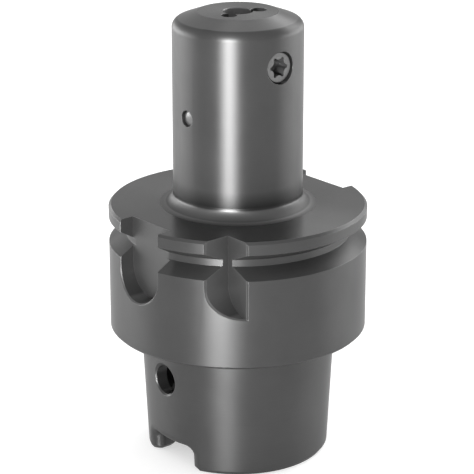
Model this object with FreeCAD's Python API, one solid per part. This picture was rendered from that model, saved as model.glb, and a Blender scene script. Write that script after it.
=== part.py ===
import FreeCAD, Part
import math
import os

# Grooving tool holder: a turned steel body with a hollow taper shank of size 40,
# a flange with gripper groove and keyways, and a slim nose that holds a small
# round-shanked grooving bar. A set screw clamps the bar, a cross pin stops it.
# Millimetres. The origin is the centre of the flange's contact face, +Z points
# out of the spindle towards the tool, and the taper hangs below the origin.
# Angles are turned about +Z from +X.

# Flange
FLANGE_DIAMETER = 40.0
FLANGE_HEIGHT = 20.0
FLANGE_TOP_CHAMFER = 0.4
FLANGE_FACE_CHAMFER = 0.4

# Gripper groove round the flange
GROOVE_BELOW_TOP = 4.0
GROOVE_DEPTH = 2.6
GROOVE_FLOOR_WIDTH = 1.04
GROOVE_ANGLE = 60.0

# Keyways in the flange, milled down from its top
KEY_ANGLES = (180.0, 0.0)
KEY_WIDTHS = (9.0, 11.0)
KEY_DEPTH = 3.0
KEY_LENGTH = 12.0
KEY_EDGE_CHAMFER = 0.2

# Orientation notch, a square corner milled down from the flange's top
NOTCH_ANGLE = 225.0
NOTCH_WALL_ANGLE = 45.0
NOTCH_DEPTH = 3.33
NOTCH_CUTTER_RADIUS = 4.5
NOTCH_LENGTH = 12.0

# Hollow taper shank
SHANK_LENGTH = 20.0
GAUGE_DIAMETER = 30.007
GAUGE_DISTANCE = 4.0
TAPER_RATIO = 9.98
SHANK_END_CHAMFER = 0.45
SHANK_END_CHAMFER_LENGTH = 0.6
FACE_RELIEF_SHARE = 0.19
FACE_RELIEF_DEPTH = 0.3

# Drive slots across the end of the shank, the second one deeper
DRIVE_SLOT_WIDTH = 8.05
DRIVE_SLOT_DEPTHS = (3.5, 6.0)
DRIVE_SLOT_CORNER = 1.0
DRIVE_SLOT_EDGE_ROUND = 1.5
DRIVE_SLOT_MOUTH_CHAMFER = 0.6

# Space inside the shank where the spindle's segments grip
CLAMP_BORE_DIAMETER = 21.0
CLAMP_MOUTH_CHAMFER = 0.6
CLAMP_SHOULDER_DISTANCE = 11.42
CLAMP_SHOULDER_ANGLE = 30.0
CLAMP_GROOVE_DIAMETER = 25.5
CLAMP_GROOVE_TOP = 4.4
INNER_BORE_DIAMETER = 23.0
INNER_FLOOR_DISTANCE = 1.0

# Radial hole through the taper for a clamping key
ACCESS_HOLE_DIAMETER = 4.6
ACCESS_HOLE_DISTANCE = 6.0
ACCESS_HOLE_CHAMFER = 0.4

# Thread for a coolant tube and the channel that feeds the nose
COOLANT_THREAD_DIAMETER = 12.0
COOLANT_THREAD_LENGTH = 9.0
COOLANT_CHANNEL_DIAMETER = 3.0

# Nose, its length measured from the flange's contact face
NOSE_DIAMETER = 20.0
NOSE_TOP = 50.0
NOSE_BASE_ROUND = 2.0
NOSE_CONE_WIDTH = 3.8
NOSE_CONE_ANGLE = 20.0
NOSE_SHOULDER_ROUND = 1.5

# Bore for the grooving bar, reamed down to the locating pin and drilled on below it,
# with two coolant flutes along it
BAR_BORE_DIAMETER = 4.5
BAR_BORE_CHAMFER = 0.1
BAR_BORE_PIN_GAP = 0.2
PILOT_DIAMETER = 3.5
PILOT_DEPTH = 22.0
FLUTE_RADIUS = 1.2
FLUTE_CENTRE_OUTSIDE_BORE = 1.0
FLUTE_OFFSET_ANGLE = 64.0
FLUTE_DEPTH = 18.0
DRILL_POINT_ANGLE = 118.0

# Clamping screw, a set screw with a six-lobed socket
SCREW_ANGLE = 270.0
SCREW_BELOW_TOP = 6.9
SCREW_DIAMETER = 5.0
SCREW_LENGTH = 6.0
SCREW_RECESS = 0.6
SCREW_HOLE_END_RADIUS = 1.2
SCREW_END_CHAMFER = 0.3
SCREW_TIP_CHAMFER = 0.9
SOCKET_DIAMETER = 3.35
SOCKET_ROOT_DIAMETER = 2.41
SOCKET_LOBE_RADIUS = 0.27
SOCKET_LOBES = 6
SOCKET_DEPTH = 2.0

# Locating pin across the bar bore
PIN_ANGLE = 180.0
PIN_BELOW_TOP = 15.0
PIN_DIAMETER = 2.5
PIN_LENGTH = 14.0
PIN_RECESS = 0.3
PIN_END_CHAMFER = 0.35

# Extra length that lets a cutting solid pass right through a surface
OVERCUT = 1.0

# How edges are told apart: steps looked at along each, and how near counts as on
EDGE_STEPS = 6
TOLERANCE = 0.001

FLANGE_RADIUS = FLANGE_DIAMETER / 2
GROOVE_FLOOR_RADIUS = FLANGE_RADIUS - GROOVE_DEPTH
GROOVE_CENTRE = FLANGE_HEIGHT - GROOVE_BELOW_TOP
NOSE_RADIUS = NOSE_DIAMETER / 2
SHANK_END = -SHANK_LENGTH
SCREW_HEIGHT = NOSE_TOP - SCREW_BELOW_TOP
PIN_HEIGHT = NOSE_TOP - PIN_BELOW_TOP
UP = FreeCAD.Vector(0, 0, 1)


def taper_radius(z):
    """Radius of the shank's taper at height z."""
    return (GAUGE_DIAMETER + (z + GAUGE_DISTANCE) / TAPER_RATIO) / 2


def turned(corners):
    """Solid of revolution about Z from (radius, z, rounding) corners of its half section."""
    points = [FreeCAD.Vector(radius, 0, z) for radius, z, _ in corners]
    count = len(points)
    ends = []
    for i, (corner, (_, _, rounding)) in enumerate(zip(points, corners)):
        back = (points[i - 1] - corner).normalize()
        ahead = (points[(i + 1) % count] - corner).normalize()
        half_turn = back.getAngle(ahead) / 2
        setback = rounding / math.tan(half_turn)
        middle = corner + (back + ahead).normalize() * (rounding / math.sin(half_turn) - rounding)
        ends.append((corner + back * setback, middle, corner + ahead * setback))
    edges = []
    for i, (start, middle, stop) in enumerate(ends):
        if corners[i][2] > 0:
            edges.append(Part.Arc(start, middle, stop).toShape())
        edges.append(Part.makeLine(stop, ends[(i + 1) % count][0]))
    face = Part.Face(Part.Wire(edges))
    return face.revolve(FreeCAD.Vector(0, 0, 0), UP, 360)


def radial_cylinder(radius, angle, height, inner, outer):
    """Cylinder whose axis is the radius at that angle and height."""
    direction = FreeCAD.Vector(math.cos(math.radians(angle)), math.sin(math.radians(angle)), 0)
    start = direction * inner + UP * height
    return Part.makeCylinder(radius, outer - inner, start, direction)


def placed_on_radius(shape, angle, height):
    """Turns a shape built along +X at height 0 to an angle about Z and lifts it."""
    shape = shape.copy()
    shape.rotate(FreeCAD.Vector(0, 0, 0), UP, angle)
    shape.translate(UP * height)
    return shape


def outer_form():
    """Everything that is turned on the outside, from the shank's end to the nose."""
    floor_half = GROOVE_FLOOR_WIDTH / 2
    mouth_half = floor_half + GROOVE_DEPTH * math.tan(math.radians(GROOVE_ANGLE / 2))
    cone_height = NOSE_CONE_WIDTH * math.tan(math.radians(NOSE_CONE_ANGLE))
    chamfer_top = SHANK_END + SHANK_END_CHAMFER_LENGTH
    relief_inner = taper_radius(0)
    relief_outer = relief_inner + FACE_RELIEF_SHARE * (FLANGE_RADIUS - relief_inner)
    return turned([
        (0, SHANK_END, 0),
        (taper_radius(chamfer_top) - SHANK_END_CHAMFER, SHANK_END, 0),
        (taper_radius(chamfer_top), chamfer_top, 0),
        (relief_inner, 0, 0),
        (relief_inner, FACE_RELIEF_DEPTH, 0),
        (relief_outer, FACE_RELIEF_DEPTH, 0),
        (relief_outer + FACE_RELIEF_DEPTH, 0, 0),
        (FLANGE_RADIUS - FLANGE_FACE_CHAMFER, 0, 0),
        (FLANGE_RADIUS, FLANGE_FACE_CHAMFER, 0),
        (FLANGE_RADIUS, GROOVE_CENTRE - mouth_half, 0),
        (GROOVE_FLOOR_RADIUS, GROOVE_CENTRE - floor_half, 0),
        (GROOVE_FLOOR_RADIUS, GROOVE_CENTRE + floor_half, 0),
        (FLANGE_RADIUS, GROOVE_CENTRE + mouth_half, 0),
        (FLANGE_RADIUS, FLANGE_HEIGHT - FLANGE_TOP_CHAMFER, 0),
        (FLANGE_RADIUS - FLANGE_TOP_CHAMFER, FLANGE_HEIGHT, 0),
        (NOSE_RADIUS, FLANGE_HEIGHT, NOSE_BASE_ROUND),
        (NOSE_RADIUS, NOSE_TOP - cone_height, NOSE_SHOULDER_ROUND),
        (NOSE_RADIUS - NOSE_CONE_WIDTH, NOSE_TOP, 0),
        (0, NOSE_TOP, 0),
    ])


def shank_cavity():
    """Clamping space inside the shank, with the coolant tube's bore above it."""
    mouth_radius = CLAMP_BORE_DIAMETER / 2 + CLAMP_MOUTH_CHAMFER
    shoulder_rise = (CLAMP_GROOVE_DIAMETER - CLAMP_BORE_DIAMETER) / 2 * math.tan(
        math.radians(CLAMP_SHOULDER_ANGLE))
    groove_step = (CLAMP_GROOVE_DIAMETER - INNER_BORE_DIAMETER) / 2
    thread_top = COOLANT_THREAD_LENGTH - INNER_FLOOR_DISTANCE
    drill_rise = COOLANT_THREAD_DIAMETER / 2 / math.tan(math.radians(DRILL_POINT_ANGLE / 2))
    return turned([
        (0, SHANK_END - OVERCUT, 0),
        (mouth_radius + OVERCUT, SHANK_END - OVERCUT, 0),
        (CLAMP_BORE_DIAMETER / 2, SHANK_END + CLAMP_MOUTH_CHAMFER, 0),
        (CLAMP_BORE_DIAMETER / 2, -CLAMP_SHOULDER_DISTANCE, 0),
        (CLAMP_GROOVE_DIAMETER / 2, shoulder_rise - CLAMP_SHOULDER_DISTANCE, 0),
        (CLAMP_GROOVE_DIAMETER / 2, -CLAMP_GROOVE_TOP, 0),
        (INNER_BORE_DIAMETER / 2, groove_step - CLAMP_GROOVE_TOP, 0),
        (INNER_BORE_DIAMETER / 2, -INNER_FLOOR_DISTANCE, 0),
        (COOLANT_THREAD_DIAMETER / 2, -INNER_FLOOR_DISTANCE, 0),
        (COOLANT_THREAD_DIAMETER / 2, thread_top, 0),
        (0, thread_top + drill_rise, 0),
    ])


def bar_bore():
    """Reamed bore for the bar, the drilled hole below it, coolant flutes and feed channel."""
    radius = BAR_BORE_DIAMETER / 2
    reamed_bottom = PIN_HEIGHT + PIN_DIAMETER / 2 + BAR_BORE_PIN_GAP
    pilot_bottom = NOSE_TOP - PILOT_DEPTH
    point_depth = PILOT_DIAMETER / 2 / math.tan(math.radians(DRILL_POINT_ANGLE / 2))
    bore = turned([
        (0, pilot_bottom - point_depth, 0),
        (PILOT_DIAMETER / 2, pilot_bottom, 0),
        (PILOT_DIAMETER / 2, reamed_bottom, 0),
        (radius, reamed_bottom, 0),
        (radius, NOSE_TOP - BAR_BORE_CHAMFER, 0),
        (radius + BAR_BORE_CHAMFER + OVERCUT, NOSE_TOP + OVERCUT, 0),
        (0, NOSE_TOP + OVERCUT, 0),
    ])
    channel_bottom = COOLANT_THREAD_LENGTH - INNER_FLOOR_DISTANCE
    channel = Part.makeCylinder(COOLANT_CHANNEL_DIAMETER / 2, pilot_bottom - channel_bottom,
                                UP * channel_bottom)
    flute_centre = radius + FLUTE_CENTRE_OUTSIDE_BORE
    flute = Part.makeCylinder(FLUTE_RADIUS, FLUTE_DEPTH + OVERCUT,
                              FreeCAD.Vector(flute_centre, 0, -FLUTE_DEPTH))
    flutes = [placed_on_radius(flute, SCREW_ANGLE + side * FLUTE_OFFSET_ANGLE, NOSE_TOP)
              for side in (-1, 1)]
    return [bore, channel] + flutes


def keyway(width, angle):
    """U-ended slot in the flange, open at the top, with a flat floor."""
    half = width / 2
    floor = FLANGE_RADIUS - KEY_DEPTH
    length = KEY_DEPTH + OVERCUT
    centre = FLANGE_HEIGHT - KEY_LENGTH + half
    end = Part.makeCylinder(half, length, FreeCAD.Vector(floor, 0, centre),
                            FreeCAD.Vector(1, 0, 0))
    run = Part.makeBox(length, width, FLANGE_HEIGHT + OVERCUT - centre,
                       FreeCAD.Vector(floor, -half, centre))
    return placed_on_radius(end.fuse(run).removeSplitter(), angle, 0)


def notch():
    """Sweep of the cutter that mills the orientation notch."""
    radius = NOTCH_CUTTER_RADIUS
    reach = FLANGE_RADIUS
    centre = FLANGE_HEIGHT - NOTCH_LENGTH + radius
    end = Part.makeCylinder(radius, reach, FreeCAD.Vector(0, radius, centre),
                            FreeCAD.Vector(1, 0, 0))
    run = Part.makeBox(reach, 2 * radius, FLANGE_HEIGHT + OVERCUT - centre,
                       FreeCAD.Vector(0, 0, centre))
    sweep = end.fuse(run).removeSplitter()
    sweep.rotate(FreeCAD.Vector(0, 0, 0), UP, -NOTCH_WALL_ANGLE)
    sweep.translate(FreeCAD.Vector(FLANGE_RADIUS - NOTCH_DEPTH, 0, 0))
    return placed_on_radius(sweep, NOTCH_ANGLE, 0)


def drive_slot(depth, angle):
    """Slot across one side of the shank's end, with rounded corners at its floor."""
    floor = SHANK_END + depth
    length = FLANGE_RADIUS
    slot = Part.makeBox(length, DRIVE_SLOT_WIDTH, depth + OVERCUT,
                        FreeCAD.Vector(0, -DRIVE_SLOT_WIDTH / 2, SHANK_END - OVERCUT))
    corners = [edge for edge in slot.Edges
               if abs(edge.BoundBox.ZMin - floor) < OVERCUT / 2
               and edge.BoundBox.XLength > length / 2]
    return placed_on_radius(slot.makeFillet(DRIVE_SLOT_CORNER, corners), angle, 0)


def access_hole():
    """Radial hole through one wall of the taper, with a small countersink."""
    radius = ACCESS_HOLE_DIAMETER / 2
    wall = taper_radius(-ACCESS_HOLE_DISTANCE)
    outward = FreeCAD.Vector(1, 0, 0)
    hole = Part.makeCylinder(radius, wall + OVERCUT, FreeCAD.Vector(0, 0, 0), outward)
    sink = Part.makeCone(radius, radius + ACCESS_HOLE_CHAMFER + OVERCUT,
                         ACCESS_HOLE_CHAMFER + OVERCUT, outward * (wall - ACCESS_HOLE_CHAMFER),
                         outward)
    return [placed_on_radius(shape, KEY_ANGLES[0], -ACCESS_HOLE_DISTANCE)
            for shape in (hole, sink)]


def cut_edges(body, cutter, on_surface):
    """Edges of the body where a cutter's walls break through a given surface."""
    walls = cutter.Shells[0]
    found = []
    for edge in body.Edges:
        first, last = edge.ParameterRange
        points = [edge.valueAt(first + (last - first) * i / EDGE_STEPS)
                  for i in range(EDGE_STEPS + 1)]
        if not all(on_surface(point) for point in points):
            continue
        if all(Part.Vertex(point).distToShape(walls)[0] < TOLERANCE for point in points):
            found.append(edge)
    return found


def on_flange(point):
    """True on the flange's round outside."""
    return abs(math.hypot(point.x, point.y) - FLANGE_RADIUS) < TOLERANCE


def on_taper(point):
    """True on the shank's taper."""
    return abs(math.hypot(point.x, point.y) - taper_radius(point.z)) < TOLERANCE


def on_shank_end(point):
    """True on the shank's flat end."""
    return abs(point.z - SHANK_END) < TOLERANCE


def holder_body():
    """The one-piece body: flange, hollow taper shank and nose."""
    body = outer_form()
    keyways = [keyway(width, angle) for width, angle in zip(KEY_WIDTHS, KEY_ANGLES)]
    for cutter in keyways + [notch()]:
        body = body.cut(cutter)
        body = body.makeChamfer(KEY_EDGE_CHAMFER, cut_edges(body, cutter, on_flange))
    body = body.cut(shank_cavity())
    for depth, angle in zip(DRIVE_SLOT_DEPTHS, KEY_ANGLES):
        cutter = drive_slot(depth, angle)
        body = body.cut(cutter)
        body = body.makeFillet(DRIVE_SLOT_EDGE_ROUND, cut_edges(body, cutter, on_taper))
        body = body.makeChamfer(DRIVE_SLOT_MOUTH_CHAMFER, cut_edges(body, cutter, on_shank_end))
    screw_hole = radial_cylinder(SCREW_DIAMETER / 2, SCREW_ANGLE, SCREW_HEIGHT,
                                 SCREW_HOLE_END_RADIUS, NOSE_RADIUS + OVERCUT)
    pin_hole = radial_cylinder(PIN_DIAMETER / 2, PIN_ANGLE, PIN_HEIGHT,
                               NOSE_RADIUS - PIN_RECESS - PIN_LENGTH, NOSE_RADIUS + OVERCUT)
    for cutter in bar_bore() + access_hole() + [screw_hole, pin_hole]:
        body = body.cut(cutter)
    return body


def socket_prism(depth):
    """Six-lobed socket as a prism along +X, from convex lobes and hollow flanks."""
    lobe_centre = SOCKET_DIAMETER / 2 - SOCKET_LOBE_RADIUS
    root = SOCKET_ROOT_DIAMETER / 2
    half_pitch = math.pi / SOCKET_LOBES
    across = lobe_centre * math.cos(half_pitch)
    flank_radius = ((SOCKET_LOBE_RADIUS ** 2 - lobe_centre ** 2 - root ** 2 + 2 * across * root)
                    / (2 * (root - across - SOCKET_LOBE_RADIUS)))
    flank_centre = root + flank_radius

    def polar(radius, turn):
        return FreeCAD.Vector(0, radius * math.cos(turn), radius * math.sin(turn))

    edges = []
    for i in range(SOCKET_LOBES):
        lobe_turn = 2 * i * half_pitch
        lobe = polar(lobe_centre, lobe_turn)
        before, after = [
            lobe + (polar(flank_centre, lobe_turn + side * half_pitch) - lobe).normalize()
            * SOCKET_LOBE_RADIUS for side in (-1, 1)]
        following = lobe_turn + 2 * half_pitch
        next_lobe = polar(lobe_centre, following)
        next_start = next_lobe + (polar(flank_centre, lobe_turn + half_pitch)
                                  - next_lobe).normalize() * SOCKET_LOBE_RADIUS
        edges.append(Part.Arc(before, polar(SOCKET_DIAMETER / 2, lobe_turn), after).toShape())
        edges.append(Part.Arc(after, polar(root, lobe_turn + half_pitch), next_start).toShape())
    return Part.Face(Part.Wire(edges)).extrude(FreeCAD.Vector(depth, 0, 0))


def along_x(solid):
    """Turns a solid made about +Z so that it lies along +X."""
    solid.rotate(FreeCAD.Vector(0, 0, 0), FreeCAD.Vector(0, 1, 0), 90)
    return solid


def clamping_screw():
    """Set screw with its socket facing out, its tip just clear of the bar bore."""
    radius = SCREW_DIAMETER / 2
    head = NOSE_RADIUS - SCREW_RECESS
    tip = head - SCREW_LENGTH
    blank = along_x(turned([
        (0, tip, 0),
        (radius - SCREW_TIP_CHAMFER, tip, 0),
        (radius, tip + SCREW_TIP_CHAMFER, 0),
        (radius, head - SCREW_END_CHAMFER, 0),
        (radius - SCREW_END_CHAMFER, head, 0),
        (0, head, 0),
    ]))
    socket = socket_prism(SOCKET_DEPTH + OVERCUT)
    socket.translate(FreeCAD.Vector(head - SOCKET_DEPTH, 0, 0))
    return placed_on_radius(blank.cut(socket), SCREW_ANGLE, SCREW_HEIGHT)


def locating_pin():
    """Pin pressed across the bar bore, chamfered at both ends."""
    radius = PIN_DIAMETER / 2
    outer = NOSE_RADIUS - PIN_RECESS
    inner = outer - PIN_LENGTH
    pin = along_x(turned([
        (0, inner, 0),
        (radius - PIN_END_CHAMFER, inner, 0),
        (radius, inner + PIN_END_CHAMFER, 0),
        (radius, outer - PIN_END_CHAMFER, 0),
        (radius - PIN_END_CHAMFER, outer, 0),
        (0, outer, 0),
    ]))
    return placed_on_radius(pin, PIN_ANGLE, PIN_HEIGHT)


PARTS = {
    "holder_body": holder_body,
    "clamping_screw": clamping_screw,
    "locating_pin": locating_pin,
}

os.makedirs("parts", exist_ok=True)
for name, build in PARTS.items():
    shape = build()
    shape.exportStep("parts/" + name + ".step")
    print(name, "valid", shape.isValid(), "solids", len(shape.Solids),
          "volume", round(shape.Volume, 1))
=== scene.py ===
import math

import bpy
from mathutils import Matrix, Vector


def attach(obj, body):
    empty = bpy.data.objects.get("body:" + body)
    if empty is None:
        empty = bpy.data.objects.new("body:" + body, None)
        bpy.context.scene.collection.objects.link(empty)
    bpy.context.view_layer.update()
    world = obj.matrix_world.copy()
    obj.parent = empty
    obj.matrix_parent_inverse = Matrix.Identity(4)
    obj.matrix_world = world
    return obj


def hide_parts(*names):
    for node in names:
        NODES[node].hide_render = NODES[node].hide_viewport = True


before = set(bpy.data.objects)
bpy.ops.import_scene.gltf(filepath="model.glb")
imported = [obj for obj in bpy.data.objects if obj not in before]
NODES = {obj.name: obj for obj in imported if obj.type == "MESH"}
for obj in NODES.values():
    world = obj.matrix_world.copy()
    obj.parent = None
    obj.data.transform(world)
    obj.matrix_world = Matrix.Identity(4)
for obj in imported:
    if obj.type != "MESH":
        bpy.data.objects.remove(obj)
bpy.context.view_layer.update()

MM = 0.001

# Camera, fitted to the photograph: its frame is 474 pixels wide
IMAGE_WIDTH_PX = 474
FOCAL_LENGTH_PX = 2120.6
SENSOR_WIDTH_MM = 36.0
CAMERA_AZIMUTH = -40.0
CAMERA_ELEVATION = 19.06
CAMERA_DISTANCE = 329.9 * MM
CAMERA_CLIP = (0.01, 10.0)
AIM_HEIGHT = 14.09 * MM
AIM_TO_THE_LEFT = 0.14 * MM

# Floor just under the shank's end, wide enough that no view sees its edge, and a white room
WHITE = (1.0, 1.0, 1.0, 1.0)
FLOOR_HEIGHT = -20.02 * MM
FLOOR_REACH = 6.0
FLOOR_TONE = 0.7
FLOOR_GLOW = 0.42
FLOOR_ROUGHNESS = 0.9
FLOOR_SPECULAR = 0.1
ROOM_BRIGHTNESS = 0.85

# Area lights: azimuth from the camera's and elevation in degrees, distance and lift of the
# light, height of the point that it faces, width and height of its panel in metres, power
# in watts and spread in degrees
LIGHTS = (
    ("key", dict(azimuth=-15.0, elevation=0.0, distance=0.4, lift=0.025, faces=0.04,
                 width=0.3, height=0.04, power=0.275, spread=32.0)),
    ("left", dict(azimuth=-117.0, elevation=0.0, distance=0.5, lift=0.03, faces=0.015,
                  width=0.8, height=0.16, power=1.45, spread=100.0)),
    ("right", dict(azimuth=115.0, elevation=0.0, distance=0.5, lift=0.03, faces=0.015,
                   width=0.8, height=0.16, power=1.02, spread=100.0)),
    ("back", dict(azimuth=130.0, elevation=31.0, distance=0.6, lift=0.0, faces=0.015,
                  width=0.45, height=0.3, power=0.22, spread=60.0)),
    ("high", dict(azimuth=158.0, elevation=38.0, distance=0.6, lift=0.0, faces=0.015,
                  width=0.4, height=0.3, power=0.08, spread=60.0)),
)

# Where the keyways and the notch are cut: half widths, distance of their floors or corner
# from the axis, their lowest point, and the flange's outside, which stays turned
NARROW_KEYWAY_HALF_WIDTH = 4.56 * MM
WIDE_KEYWAY_HALF_WIDTH = 5.56 * MM
KEYWAY_FLOOR = 16.9 * MM
NOTCH_CORNER = 16.62 * MM
CUTS_BOTTOM = 7.9 * MM
FLANGE_OUTSIDE = 19.93 * MM

# Foot of the nose: its round, and the band above it that is darkened with painted shade, in
# place of the dark reflection of the flange top
FOOT_ROUND_TOP = 22.05 * MM
FOOT_ROUND_OUTSIDE = 12.1 * MM
FOOT_POLISH_HEIGHTS = (21.3 * MM, 21.55 * MM)
PAINTED_BAND_BEGINS = (21.5 * MM, 21.7 * MM)
PAINTED_BAND_ENDS = (22.0 * MM, 24.5 * MM)

# Body steel: tone of the turned surface, and how much lighter or darker other areas are, mostly
# as painted light and shade
BODY_TONE = 0.061
BODY_METALLIC = 0.8
BODY_EDGE_TINT = (0.6, 0.6, 0.6, 1.0)
STAINED_TONES = (0.94, 1.06)
MARKED_TONES = (0.97, 1.03)
# Painted light: the keyways and the notch are lightened in place of light bouncing into them
MILLED_PAINTED_LIGHT = 1.2
# Painted light: surfaces facing the axis, in the bores, are lightened in place of light reaching
# into them
INSIDE_PAINTED_LIGHT = 3.0
# Painted light: faced tops and undersides are lightened for the light that they catch
FACED_PAINTED_LIGHT = 1.9
# Wear and painted highlight: edges are lightened, partly as real wear and partly in place of the
# highlights on their chamfers
WEAR_AND_HIGHLIGHT_TONE = 1.7
# Painted shade: how much darker the band above the nose's foot is, in place of a dark reflection
PAINTED_BAND_TONE = 0.35

# Body steel: roughness, and how far turning marks stretch its highlights
TURNED_ROUGHNESS = (0.37, 0.41)
FACED_ROUGHNESS = 0.23
FOOT_ROUGHNESS = (0.5, 0.3)
DULL_ROUGHNESS = 0.5
STRETCH = 0.74
STRETCH_ALONG_AXIS = 0.25

# Soft edges, and how far a surface turns within their radius before it counts as worn and gets a
# painted edge highlight
EDGE_RADIUS = 0.1 * MM
EDGE_SAMPLES = 6
WEAR_AND_HIGHLIGHT_BEGINS, WEAR_AND_HIGHLIGHT_FULL = 0.995, 0.93

# Noise sizes, in cells per metre, and the part of a noise's range that is used
NOISE_RANGE = (0.3, 0.7)
HANDLING_RANGE = (0.35, 0.65)
HANDLING_SCALE = 420.0
MARKS_SCALE = 9000.0
STAINS_SCALE = 140.0
SMALL_STAINS_SCALE = 900.0
MARKS_BUMP = 0.05
MARKS_DEPTH = 0.00002

# Places of the vector sockets on Blender's mix node
MIX_FIRST, MIX_SECOND, MIX_RESULT = 4, 5, 1

# Thread for the coolant tube, M12 x 1: corners of the ridge as radius and height
THREAD_PITCH = 1.0 * MM
THREAD_TURNS = 8
THREAD_STEPS = 48
THREAD_BOTTOM = -0.5 * MM
THREAD_ROOT, THREAD_CREST = 6.02 * MM, 5.46 * MM
THREAD_ROOT_HALF_WIDTH, THREAD_CREST_HALF_WIDTH = 0.44 * MM, 0.07 * MM

# Pin across the nose along -X: height of its axis, its ends, and the crown on the outer one
PIN_RADIUS = 1.25 * MM
PIN_HEIGHT = 35.0 * MM
PIN_OUTER_END, PIN_INNER_END = -9.7 * MM, 4.3 * MM
PIN_CROWN_RADIUS = 3.2 * MM
PIN_CROWN_REACH = 1.15 * MM
PIN_EDGE_LENGTH = 0.1 * MM
PIN_STEPS = 40
PIN_RINGS = 8


def direction(azimuth, elevation=0.0):
    """Unit vector from the object towards a view azimuth and elevation, in degrees."""
    a, e = math.radians(azimuth), math.radians(elevation)
    return Vector((math.sin(a) * math.cos(e), -math.cos(a) * math.cos(e), math.sin(e)))


def aim(obj, target):
    """Turns a camera or light so that it looks at a point."""
    obj.rotation_euler = (target - obj.location).to_track_quat("-Z", "Y").to_euler()


def add_object(name, data):
    """Puts new data into the scene as an object of the same name."""
    obj = bpy.data.objects.new(name, data)
    bpy.context.scene.collection.objects.link(obj)
    return obj


def add_mesh(name, points, faces, material):
    """Makes a mesh object of one material from points in metres."""
    mesh = bpy.data.meshes.new(name)
    mesh.from_pydata(points, [], faces)
    mesh.materials.append(material)
    return add_object(name, mesh)


def make_camera():
    data = bpy.data.cameras.new("camera")
    data.sensor_width = SENSOR_WIDTH_MM
    data.lens = FOCAL_LENGTH_PX * SENSOR_WIDTH_MM / IMAGE_WIDTH_PX
    data.clip_start, data.clip_end = CAMERA_CLIP
    camera = add_object("camera", data)
    left = -direction(CAMERA_AZIMUTH + 90.0)
    target = Vector((0.0, 0.0, AIM_HEIGHT))
    camera.location = target + direction(CAMERA_AZIMUTH, CAMERA_ELEVATION) * CAMERA_DISTANCE
    aim(camera, target + left * AIM_TO_THE_LEFT)
    bpy.context.scene.camera = camera


class Shader:
    """A material's node tree, with short calls for the nodes that the metals share."""

    def __init__(self, name):
        self.material = bpy.data.materials.new(name)
        self.material.use_nodes = True
        self.tree = self.material.node_tree
        self.surface = self.tree.nodes["Principled BSDF"].inputs

    def node(self, kind, **settings):
        made = self.tree.nodes.new(kind)
        for name, value in settings.items():
            setattr(made, name, value)
        return made

    def link(self, source, socket):
        self.tree.links.new(source, socket)

    def put(self, value, socket):
        """Links an output to a socket, or sets a plain value on it."""
        if isinstance(value, bpy.types.NodeSocket):
            self.link(value, socket)
        else:
            socket.default_value = value

    def math(self, operation, *values):
        made = self.node("ShaderNodeMath", operation=operation)
        for value, socket in zip(values, made.inputs):
            self.put(value, socket)
        return made.outputs[0]

    def product(self, first, *others):
        for other in others:
            first = self.math("MULTIPLY", first, other)
        return first

    def within(self, value, limit):
        """1 where a value's size is under a limit, else 0."""
        return self.math("LESS_THAN", self.math("ABSOLUTE", value), limit)

    def spread(self, value, low, high, to_low, to_high):
        """Maps a value from one range to another, held at the ends."""
        made = self.node("ShaderNodeMapRange")
        for number, socket in zip((value, low, high, to_low, to_high), made.inputs):
            self.put(number, socket)
        return made.outputs[0]

    def object_vector(self, output):
        """A vector in object coordinates, whole and as separate x, y and z."""
        coordinates = self.node("ShaderNodeTexCoord")
        parts = self.node("ShaderNodeSeparateXYZ")
        self.link(coordinates.outputs[output], parts.inputs[0])
        return coordinates.outputs[output], parts.outputs

    def blend(self, mask, first, second):
        """first where the mask is 0, second where it is 1."""
        made = self.node("ShaderNodeMix", data_type="FLOAT")
        for value, name in ((mask, "Factor"), (first, "A"), (second, "B")):
            self.put(value, made.inputs[name])
        return made.outputs["Result"]

    def vector(self, x, y):
        made = self.node("ShaderNodeCombineXYZ")
        for value, socket in zip((x, y), made.inputs):
            self.put(value, socket)
        return made.outputs[0]

    def noise(self, vector, scale, detail, roughness=0.5):
        made = self.node("ShaderNodeTexNoise")
        self.link(vector, made.inputs["Vector"])
        made.inputs["Scale"].default_value = scale
        made.inputs["Detail"].default_value = detail
        made.inputs["Roughness"].default_value = roughness
        return made.outputs["Fac"]

    def grey(self, value):
        """A neutral colour from a number."""
        made = self.node("ShaderNodeCombineColor")
        for socket in made.inputs[:3]:
            self.put(value, socket)
        return made.outputs[0]

    def bump(self, height, strength, distance, normal):
        made = self.node("ShaderNodeBump")
        made.inputs["Strength"].default_value = strength
        made.inputs["Distance"].default_value = distance
        self.link(height, made.inputs["Height"])
        self.link(normal, made.inputs["Normal"])
        return made.outputs[0]


def milled_areas(shader, x, y, z, radius):
    """1 on the keyways and the orientation notch, 0 elsewhere."""
    narrow = shader.product(shader.within(y, NARROW_KEYWAY_HALF_WIDTH),
                            shader.math("LESS_THAN", x, -KEYWAY_FLOOR))
    wide = shader.product(shader.within(y, WIDE_KEYWAY_HALF_WIDTH),
                          shader.math("GREATER_THAN", x, KEYWAY_FLOOR))
    out = shader.product(shader.math("ADD", x, y), -math.sqrt(0.5))
    across = shader.product(shader.math("SUBTRACT", x, y), math.sqrt(0.5))
    corner = shader.math("ADD", shader.math("ABSOLUTE", across), NOTCH_CORNER)
    notch = shader.math("GREATER_THAN", out, corner)
    cut = shader.math("MAXIMUM", shader.math("MAXIMUM", narrow, wide), notch)
    return shader.product(cut, shader.math("GREATER_THAN", z, CUTS_BOTTOM),
                          shader.math("LESS_THAN", radius, FLANGE_OUTSIDE))


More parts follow.
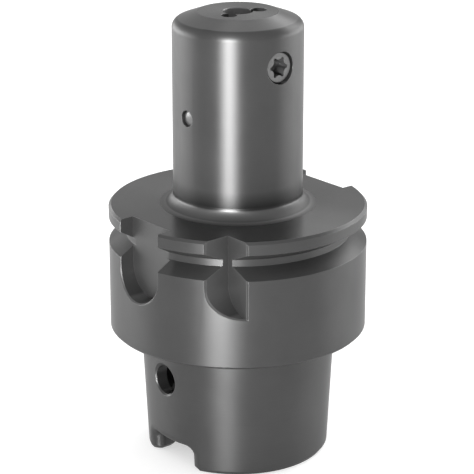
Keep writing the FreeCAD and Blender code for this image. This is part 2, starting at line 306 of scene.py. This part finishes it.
def body_steel():
    """Dark satin steel of the holder: turned outside, faced tops, milled cuts, duller bores,
    with painted light on the cuts, bores, faces and edges and painted shade above the nose's
    foot.
    """
    shader = Shader("dark_satin_steel")
    surface = shader.surface
    surface["Metallic"].default_value = BODY_METALLIC
    surface["Anisotropic Rotation"].default_value = STRETCH_ALONG_AXIS
    surface["Specular Tint"].default_value = BODY_EDGE_TINT
    place, (x, y, z) = shader.object_vector("Object")
    _, (nx, ny, nz) = shader.object_vector("Normal")
    radius = shader.math("SQRT", shader.math("ADD", shader.product(x, x), shader.product(y, y)))

    # Areas, as masks from 0 to 1
    outward = shader.math("ADD", shader.product(shader.math("DIVIDE", x, radius), nx),
                          shader.product(shader.math("DIVIDE", y, radius), ny))
    inside = shader.spread(outward, -0.6, -0.3, 1.0, 0.0)
    upright = shader.math("ABSOLUTE", nz)
    faced = shader.spread(upright, 0.88, 0.93, 0.0, 1.0)
    flat = shader.spread(upright, 0.96, 0.99, 0.0, 1.0)
    by_the_nose = shader.math("LESS_THAN", radius, FOOT_ROUND_OUTSIDE)
    foot = shader.product(shader.math("LESS_THAN", z, FOOT_ROUND_TOP),
                          shader.math("GREATER_THAN", nz, 0.03), by_the_nose)
    # Painted shade: a band above the nose's foot, darkened in place of the dark reflection of
    # the flange top
    painted_dark_band = shader.product(shader.spread(z, *PAINTED_BAND_BEGINS, 0.0, 1.0),
                            shader.spread(z, *PAINTED_BAND_ENDS, 1.0, 0.0), by_the_nose)
    milled = milled_areas(shader, x, y, z, radius)

    # Soft edges, and wear with a painted highlight where the surface turns within their radius
    soft = shader.node("ShaderNodeBevel", samples=EDGE_SAMPLES)
    soft.inputs["Radius"].default_value = EDGE_RADIUS
    plain = shader.node("ShaderNodeNewGeometry")
    turn = shader.node("ShaderNodeVectorMath", operation="DOT_PRODUCT")
    shader.link(soft.outputs[0], turn.inputs[0])
    shader.link(plain.outputs["Normal"], turn.inputs[1])
    handled = shader.spread(shader.noise(place, HANDLING_SCALE, 3.0), *HANDLING_RANGE, 0.4, 1.0)
    wear_and_highlight = shader.product(
        shader.spread(turn.outputs["Value"], WEAR_AND_HIGHLIGHT_BEGINS, WEAR_AND_HIGHLIGHT_FULL, 0.0, 1.0), handled)

    # Colour: stains and fine turning marks, then each area's tone, which paints light on the
    # cuts, bores, faces and edges and paints shade above the nose's foot
    marks = shader.noise(shader.vector(radius, z), MARKS_SCALE, 3.0, 0.6)
    stains = shader.noise(place, STAINS_SCALE, 4.0, 0.6)
    stained = [BODY_TONE * factor for factor in STAINED_TONES]
    colour = shader.product(shader.spread(stains, *NOISE_RANGE, *stained),
                            shader.spread(marks, *NOISE_RANGE, *MARKED_TONES))
    for mask, tone in ((milled, MILLED_PAINTED_LIGHT), (inside, INSIDE_PAINTED_LIGHT), (faced, FACED_PAINTED_LIGHT),
                       (wear_and_highlight, WEAR_AND_HIGHLIGHT_TONE), (painted_dark_band, PAINTED_BAND_TONE)):
        colour = shader.product(colour, shader.blend(mask, 1.0, tone))
    shader.link(shader.grey(colour), surface["Base Color"])

    # Roughness, and highlights stretched along the axis on turned surfaces
    rough = shader.spread(stains, *NOISE_RANGE, *TURNED_ROUGHNESS)
    rough = shader.blend(flat, rough, FACED_ROUGHNESS)
    rough = shader.blend(foot, rough, shader.spread(z, *FOOT_POLISH_HEIGHTS, *FOOT_ROUGHNESS))
    rough = shader.blend(shader.math("MAXIMUM", inside, milled), rough, DULL_ROUGHNESS)
    shader.link(rough, surface["Roughness"])
    turned = shader.math("SUBTRACT", 1.0, shader.math("MAXIMUM", foot, milled))
    shader.link(shader.product(turned, STRETCH), surface["Anisotropic"])

    # Normal: soft edges except on the milled cuts, with the marks as a fine bump
    edges = shader.node("ShaderNodeMix", data_type="VECTOR")
    shader.link(milled, edges.inputs["Factor"])
    shader.link(soft.outputs[0], edges.inputs[MIX_FIRST])
    shader.link(plain.outputs["Normal"], edges.inputs[MIX_SECOND])
    shader.link(shader.bump(marks, MARKS_BUMP, MARKS_DEPTH, edges.outputs[MIX_RESULT]),
                surface["Normal"])
    return shader.material


def metal(name, tone, roughness):
    """Plain satin steel with slight stains, for the small parts."""
    shader = Shader(name)
    shader.surface["Metallic"].default_value = 0.7
    place, _ = shader.object_vector("Object")
    stains = shader.noise(place, SMALL_STAINS_SCALE, 4.0, 0.6)
    shader.link(shader.grey(shader.spread(stains, *NOISE_RANGE, tone * 0.92, tone * 1.08)),
                shader.surface["Base Color"])
    shader.link(shader.spread(stains, *NOISE_RANGE, roughness - 0.03, roughness + 0.03),
                shader.surface["Roughness"])
    return shader.material


def make_stage():
    """A pale floor, and a plain white room round it."""
    shader = Shader("pale_floor")
    shader.surface["Base Color"].default_value = (FLOOR_TONE, FLOOR_TONE, FLOOR_TONE, 1.0)
    shader.surface["Emission Color"].default_value = WHITE
    shader.surface["Emission Strength"].default_value = FLOOR_GLOW
    shader.surface["Roughness"].default_value = FLOOR_ROUGHNESS
    shader.surface["Specular IOR Level"].default_value = FLOOR_SPECULAR
    corners = [(x * FLOOR_REACH, y * FLOOR_REACH, FLOOR_HEIGHT)
               for x, y in ((-1, -1), (1, -1), (1, 1), (-1, 1))]
    add_mesh("floor", corners, [(0, 1, 2, 3)], shader.material)
    world = bpy.data.worlds.new("room")
    world.use_nodes = True
    background = world.node_tree.nodes["Background"].inputs
    background["Color"].default_value = WHITE
    background["Strength"].default_value = ROOM_BRIGHTNESS
    bpy.context.scene.world = world


def make_lights():
    for name, light in LIGHTS:
        data = bpy.data.lights.new(name, "AREA")
        data.shape = "RECTANGLE"
        data.size, data.size_y = light["width"], light["height"]
        data.energy = light["power"]
        data.spread = math.radians(light["spread"])
        panel = add_object(name, data)
        towards = direction(CAMERA_AZIMUTH + light["azimuth"], light["elevation"])
        panel.location = towards * light["distance"] + Vector((0.0, 0.0, light["lift"]))
        panel.visible_camera = False
        aim(panel, Vector((0.0, 0.0, light["faces"])))


def coolant_thread(material):
    """The thread for the coolant tube, as a ridge that winds up the inside of its bore."""
    section = ((THREAD_ROOT, -THREAD_ROOT_HALF_WIDTH), (THREAD_CREST, -THREAD_CREST_HALF_WIDTH),
               (THREAD_CREST, THREAD_CREST_HALF_WIDTH), (THREAD_ROOT, THREAD_ROOT_HALF_WIDTH))
    corners = len(section)
    count = THREAD_STEPS * THREAD_TURNS
    points, faces = [], []
    for i in range(count + 1):
        turn = 2.0 * math.pi * i / THREAD_STEPS
        rise = THREAD_BOTTOM + THREAD_PITCH * i / THREAD_STEPS
        points += [(radius * math.cos(turn), radius * math.sin(turn), rise + height)
                   for radius, height in section]
    for i in range(count):
        here, ahead = corners * i, corners * (i + 1)
        for j in range(corners):
            k = (j + 1) % corners
            faces.append((here + j, here + k, ahead + k, ahead + j))
    faces.append(tuple(reversed(range(corners))))
    faces.append(tuple(range(corners * count, corners * (count + 1))))
    thread = add_mesh("coolant_thread", points, faces, material)
    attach(thread, "root")


def crowned_pin(material):
    """The pin in the nose's cross hole, with a crown on its outer end."""
    profile = []
    for ring in range(1, PIN_RINGS + 1):
        across = PIN_CROWN_REACH * ring / PIN_RINGS
        sag = PIN_CROWN_RADIUS - math.sqrt(PIN_CROWN_RADIUS ** 2 - across ** 2)
        profile.append((PIN_OUTER_END + sag, across))
    profile.append((profile[-1][0] + PIN_EDGE_LENGTH, PIN_RADIUS))
    profile.append((PIN_INNER_END, PIN_RADIUS))
    points = [(PIN_OUTER_END, 0.0, PIN_HEIGHT)]
    for along, across in profile:
        for i in range(PIN_STEPS):
            turn = 2.0 * math.pi * i / PIN_STEPS
            points.append((along, across * math.cos(turn), PIN_HEIGHT + across * math.sin(turn)))
    around = [(1 + i, 1 + (i + 1) % PIN_STEPS) for i in range(PIN_STEPS)]
    faces = [(0, after, here) for here, after in around]
    for ring in range(len(profile) - 1):
        start = ring * PIN_STEPS
        faces += [(start + here, start + after, start + after + PIN_STEPS,
                   start + here + PIN_STEPS) for here, after in around]
    inner = (len(profile) - 1) * PIN_STEPS
    faces.append(tuple(inner + here for here, _ in around))
    pin = add_mesh("crowned_pin", points, faces, material)
    for polygon in pin.data.polygons:
        polygon.use_smooth = polygon.index < PIN_STEPS * PIN_RINGS
    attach(pin, "root")
    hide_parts("locating_pin")


def dress(node, material):
    """Puts one material on every slot of a CAD node."""
    materials = NODES[node].data.materials
    for i in range(len(materials)):
        materials[i] = material


make_camera()
make_stage()
make_lights()
steel = body_steel()
dress("holder_body", steel)
coolant_thread(steel)
dress("clamping_screw", metal("screw_satin_steel", 0.1, 0.4))
crowned_pin(metal("ground_pin_steel", 0.11, 0.33))
bpy.context.scene.view_settings.view_transform = "Standard"
